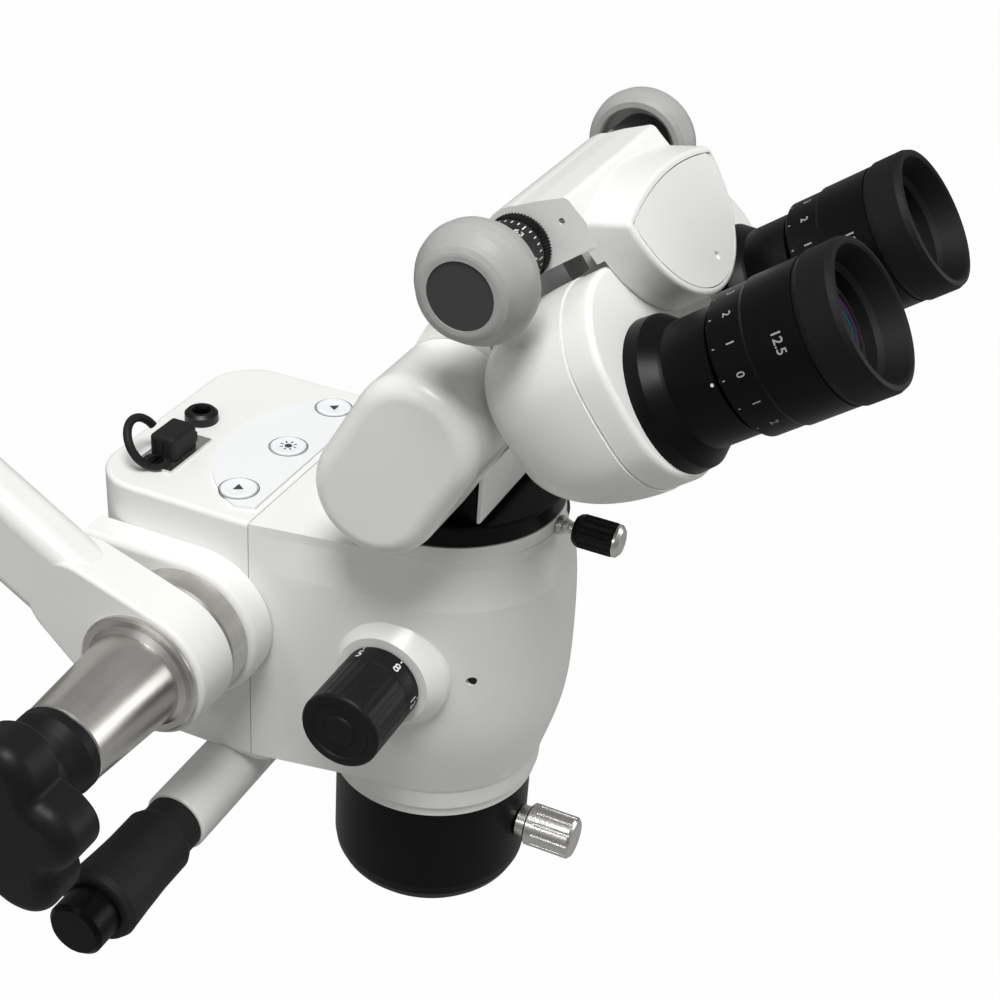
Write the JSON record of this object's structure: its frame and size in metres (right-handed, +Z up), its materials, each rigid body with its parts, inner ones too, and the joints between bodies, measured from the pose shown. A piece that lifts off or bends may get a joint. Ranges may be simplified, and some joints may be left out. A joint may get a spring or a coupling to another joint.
{
  "type": "surgical microscope head",
  "caption": "Surgical microscope head: inclinable binocular with sliding eyepiece tubes, magnification drum, fine-focus objective, grips and a one-sided tilting yoke arm.",
  "frame": {"origin": "centre of the objective cup mouth, on the optical axis", "axes": "+Z up along the optical axis, -Y towards the user at the eyepieces, -X towards the yoke and star knob"},
  "size_m": [0.2876, 0.3581, 0.2739],
  "materials": {
    "white_paint": "satin white enamel on cast aluminium",
    "black_anodised": "black anodised and painted, satin",
    "black_plastic": "moulded, fine grain",
    "brushed_steel": "turned",
    "aluminium": "cast and machined",
    "black_rubber": "soft, matt",
    "dark_screw": "blackened",
    "panel_film": "pale grey film",
    "circuit_board": "solder resist",
    "glass": "coated",
    "bright_nickel": "nickel plated, satin",
    "clear_silicone": "milky clear silicone"
  },
  "bodies": {
    "yoke": {"yoke_arm": "white_paint", "arm_spigot": "brushed_steel", "tension_cone": "brushed_steel"},
    "head": {"tilt_axle": "brushed_steel", "friction_ring": "brushed_steel", "friction_washer": "black_anodised", "side_boss": "white_paint", "front_housing": "white_paint", "rear_housing": "white_paint", "bottom_plate": "white_paint", "housing_screws": "dark_screw", "control_panel": "panel_film", "control_board": "circuit_board", "lamp_housing": "aluminium", "condenser_tube": "black_anodised", "illumination_optics": "glass", "port_plate": "brushed_steel", "plug_strap": "black_rubber", "power_jack": "dark_screw", "objective_cup": "black_anodised", "handle_tubes": "white_paint", "handle_grips": "black_rubber", "handle_end_knobs": "black_anodised"},
    "star_knob": {"star_knob": "black_plastic"},
    "down_button": {"down_button": "panel_film"},
    "light_button": {"light_button": "panel_film"},
    "up_button": {"up_button": "panel_film"},
    "port_plug": {"port_plug": "black_rubber"},
    "magnification": {"magnification_drum": "black_anodised", "magnification_lenses": "glass", "magnification_knobs": "black_plastic"},
    "objective": {"objective_cell": "black_anodised", "objective_lens": "glass"},
    "focus_knob": {"focus_pinion": "brushed_steel", "focus_knob": "bright_nickel"},
    "binocular_base": {"binocular_ring": "black_anodised", "base_block": "black_anodised", "base_apron": "white_paint"},
    "ring_clamp": {"clamp_screw": "bright_nickel", "clamp_knob": "black_plastic"},
    "swing_link": {"swing_pod_left": "white_paint", "swing_pod_right": "white_paint", "hinge_shafts": "brushed_steel"},
    "binocular_head": {"head_housing": "white_paint", "front_cover": "white_paint"},
    "eye_distance_knobs": {"pd_shaft": "brushed_steel", "pd_dials": "black_anodised", "pd_caps": "clear_silicone"},
    "left_tube": {"prism_housing_left": "white_paint", "rhomb_prism_left": "glass", "eyepiece_tube_left": "black_anodised"},
    "right_tube": {"prism_housing_right": "white_paint", "rhomb_prism_right": "glass", "eyepiece_tube_right": "black_anodised"},
    "left_eyepiece": {"diopter_barrel_left": "black_anodised", "eyecup_left": "black_rubber", "eye_lens_left": "glass"},
    "right_eyepiece": {"diopter_barrel_right": "black_anodised", "eyecup_right": "black_rubber", "eye_lens_right": "glass"}
  },
  "joints": [
    {"name": "head_tilt", "type": "hinge", "parent": "yoke", "child": "head", "pos_m": [0, 0.062, 0.109], "axis": [1, 0, 0], "range_deg": [-45, 45]},
    {"name": "star_knob_turn", "type": "hinge", "parent": "head", "child": "star_knob", "pos_m": [-0.138, 0.062, 0.109], "axis": [-1, 0, 0], "range_deg": [0, 360]},
    {"name": "down_button_press", "type": "slide", "parent": "head", "child": "down_button", "axis": [0, 0, 1], "range_m": [-0.0008, 0], "stiffness_N_per_m": 400},
    {"name": "light_button_press", "type": "slide", "parent": "head", "child": "light_button", "axis": [0, 0, 1], "range_m": [-0.0008, 0], "stiffness_N_per_m": 400},
    {"name": "up_button_press", "type": "slide", "parent": "head", "child": "up_button", "axis": [0, 0, 1], "range_m": [-0.0008, 0], "stiffness_N_per_m": 400},
    {"name": "port_plug_pull", "type": "slide", "parent": "head", "child": "port_plug", "axis": [0, 0, 1], "range_m": [0, 0.025], "deforming": ["plug_strap"]},
    {"name": "magnification_turn", "type": "hinge", "parent": "head", "child": "magnification", "pos_m": [0, -0.0023, 0.1066], "axis": [1, 0, 0], "continuous": true},
    {"name": "objective_focus", "type": "slide", "parent": "head", "child": "objective", "axis": [0, 0, 1], "range_m": [-0.00377, 0.00377]},
    {"name": "focus_knob_turn", "type": "hinge", "parent": "head", "child": "focus_knob", "pos_m": [0, -0.045, 0.026], "axis": [0, -1, 0], "range_deg": [-72.5, 72.5]},
    {"name": "binocular_swivel", "type": "hinge", "parent": "head", "child": "binocular_base", "pos_m": [0, 0, 0.1524], "axis": [0, 0, 1], "range_deg": [-45, 45]},
    {"name": "ring_clamp_turn", "type": "hinge", "parent": "head", "child": "ring_clamp", "pos_m": [0, -0.045, 0.1489], "axis": [0, -1, 0], "range_deg": [0, 360]},
    {"name": "lower_hinge", "type": "hinge", "parent": "binocular_base", "child": "swing_link", "pos_m": [0, -0.0026, 0.179], "axis": [1, 0, 0], "range_deg": [-20, 12]},
    {"name": "upper_hinge", "type": "hinge", "parent": "swing_link", "child": "binocular_head", "pos_m": [0, -0.01358, 0.19898], "axis": [1, 0, 0], "range_deg": [-30, 15]},
    {"name": "left_tube_slide", "type": "slide", "parent": "binocular_head", "child": "left_tube", "axis": [-1, 0, 0], "range_m": [-0.0055, 0.0035]},
    {"name": "right_tube_slide", "type": "slide", "parent": "binocular_head", "child": "right_tube", "axis": [1, 0, 0], "range_m": [-0.0055, 0.0035]},
    {"name": "eye_distance_turn", "type": "hinge", "parent": "binocular_head", "child": "eye_distance_knobs", "pos_m": [0, -0.03127, 0.25235], "axis": [1, 0, 0], "range_deg": [-183.5, 116.8]},
    {"name": "left_diopter_turn", "type": "hinge", "parent": "left_tube", "child": "left_eyepiece", "pos_m": [-0.0355, -0.12581, 0.25765], "axis": [0, -0.7976, 0.6032], "range_deg": [-150, 150]},
    {"name": "right_diopter_turn", "type": "hinge", "parent": "right_tube", "child": "right_eyepiece", "pos_m": [0.0355, -0.12581, 0.25765], "axis": [0, -0.7976, 0.6032], "range_deg": [-150, 150]}
  ],
  "couplings": [
    {"joint": "focus_knob_turn", "follows": "objective_focus", "rad_per_m": 333.33},
    {"joint": "right_tube_slide", "follows": "left_tube_slide", "ratio": 1},
    {"joint": "eye_distance_turn", "follows": "left_tube_slide", "rad_per_m": 581.78}
  ]
}
